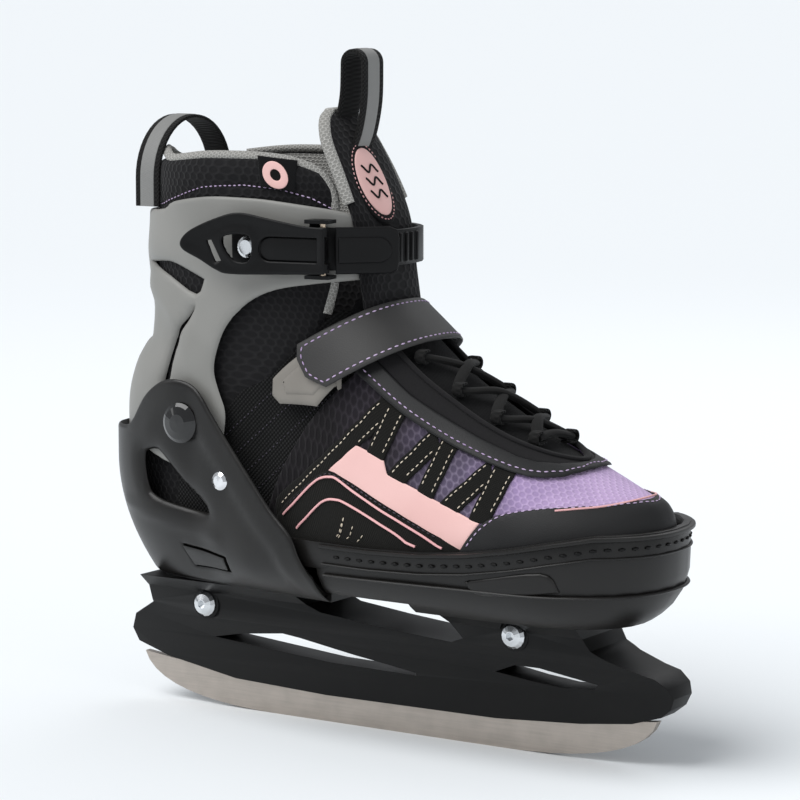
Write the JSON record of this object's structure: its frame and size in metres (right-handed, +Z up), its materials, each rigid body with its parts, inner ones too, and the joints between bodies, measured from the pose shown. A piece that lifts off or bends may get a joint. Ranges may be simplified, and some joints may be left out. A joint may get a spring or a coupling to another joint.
{
  "type": "ice skate",
  "caption": "Adjustable children's ice skate with a plastic blade holder, a leaning cuff, a ratchet buckle, laces and an instep strap.",
  "frame": {"origin": "middle of the blade's running edge, where it meets the floor", "axes": "+X to the toe, +Z up, +Y to the inner side of the right foot; the buckle is on the -Y side"},
  "size_m": [0.2885, 0.0998, 0.3026],
  "materials": {
    "shell_plastic": "satin",
    "grey_plastic": "matte",
    "buckle_plastic": "satin",
    "blade_steel": "brushed",
    "zinc_steel": "satin",
    "spring_steel": "satin",
    "chrome": "polished",
    "brass_pin": "satin",
    "gloss_cap": "gloss",
    "black_textile": "matte",
    "fading_textile": "matte",
    "lace_cord": "matte",
    "webbing": "matte",
    "black_leather": "satin",
    "grey_leather": "satin",
    "moulded_rubber": "matte",
    "pink_film": "satin",
    "foam": "matte"
  },
  "bodies": {
    "root": {"blade": "blade_steel", "blade_holder": "shell_plastic", "tower_bolt_rear": "zinc_steel", "tower_bolt_front": "zinc_steel", "tower_nut_rear": "zinc_steel", "tower_nut_front": "zinc_steel", "heel_shell": "shell_plastic", "front_guide": "shell_plastic", "button_spring": "spring_steel", "pivot_bolt_outer": "gloss_cap", "pivot_bolt_inner": "gloss_cap", "arm_rivet_outer": "chrome", "arm_rivet_inner": "chrome", "heel_liner": "black_textile", "heel_footbed": "foam"},
    "toe_shell": {"toe_shell": "shell_plastic", "vamp": "fading_textile", "toe_cap": "black_leather", "eyestay": "grey_leather", "tongue_lower": "black_textile", "lace": "lace_cord", "lace_loop_outer_1": "webbing", "lace_loop_inner_1": "webbing", "lace_loop_outer_2": "webbing", "lace_loop_inner_2": "webbing", "lace_loop_outer_3": "webbing", "lace_loop_inner_3": "webbing", "lace_loop_outer_4": "webbing", "lace_loop_inner_4": "webbing", "strap_anchor": "grey_leather", "strap_patch": "moulded_rubber", "toe_footbed": "foam"},
    "cuff": {"cuff": "grey_plastic", "collar": "black_textile", "tongue_upper": "black_textile", "tongue_loop": "webbing", "tongue_badge": "pink_film", "rear_loop": "webbing", "buckle_base": "buckle_plastic", "lever_pin": "brass_pin", "front_plate": "buckle_plastic", "ladder_strap": "buckle_plastic", "buckle_screw": "zinc_steel", "ladder_screw": "zinc_steel"},
    "buckle_lever": {"buckle_lever": "buckle_plastic"},
    "release_tab": {"release_tab": "buckle_plastic"},
    "push_button": {"push_button": "shell_plastic"},
    "instep_strap": {"instep_strap": "grey_leather"}
  },
  "joints": [
    {"name": "size_slide", "type": "slide", "parent": "root", "child": "toe_shell", "axis": [1, 0, 0], "range_m": [0, 0.02]},
    {"name": "cuff_hinge", "type": "hinge", "parent": "root", "child": "cuff", "pos_m": [-0.084, 0, 0.137], "axis": [0, 1, 0], "range_deg": [-3, 6]},
    {"name": "lever_hinge", "type": "hinge", "parent": "cuff", "child": "buckle_lever", "pos_m": [-0.01059, -0.03691, 0.2168], "axis": [0, 0, 1], "range_deg": [0, 75]},
    {"name": "tab_hinge", "type": "hinge", "parent": "cuff", "child": "release_tab", "pos_m": [-0.01059, -0.03691, 0.2168], "axis": [0, 0, 1], "range_deg": [0, 8]},
    {"name": "button_slide", "type": "slide", "parent": "root", "child": "push_button", "axis": [0, 1, 0], "range_m": [0, 0.003], "stiffness_N_per_m": 1500},
    {"name": "strap_hinge", "type": "hinge", "parent": "toe_shell", "child": "instep_strap", "pos_m": [-0.01649, 0.0439, 0.1657], "axis": [-0.5075, 0, 0.8616], "range_deg": [0, 60]}
  ]
}
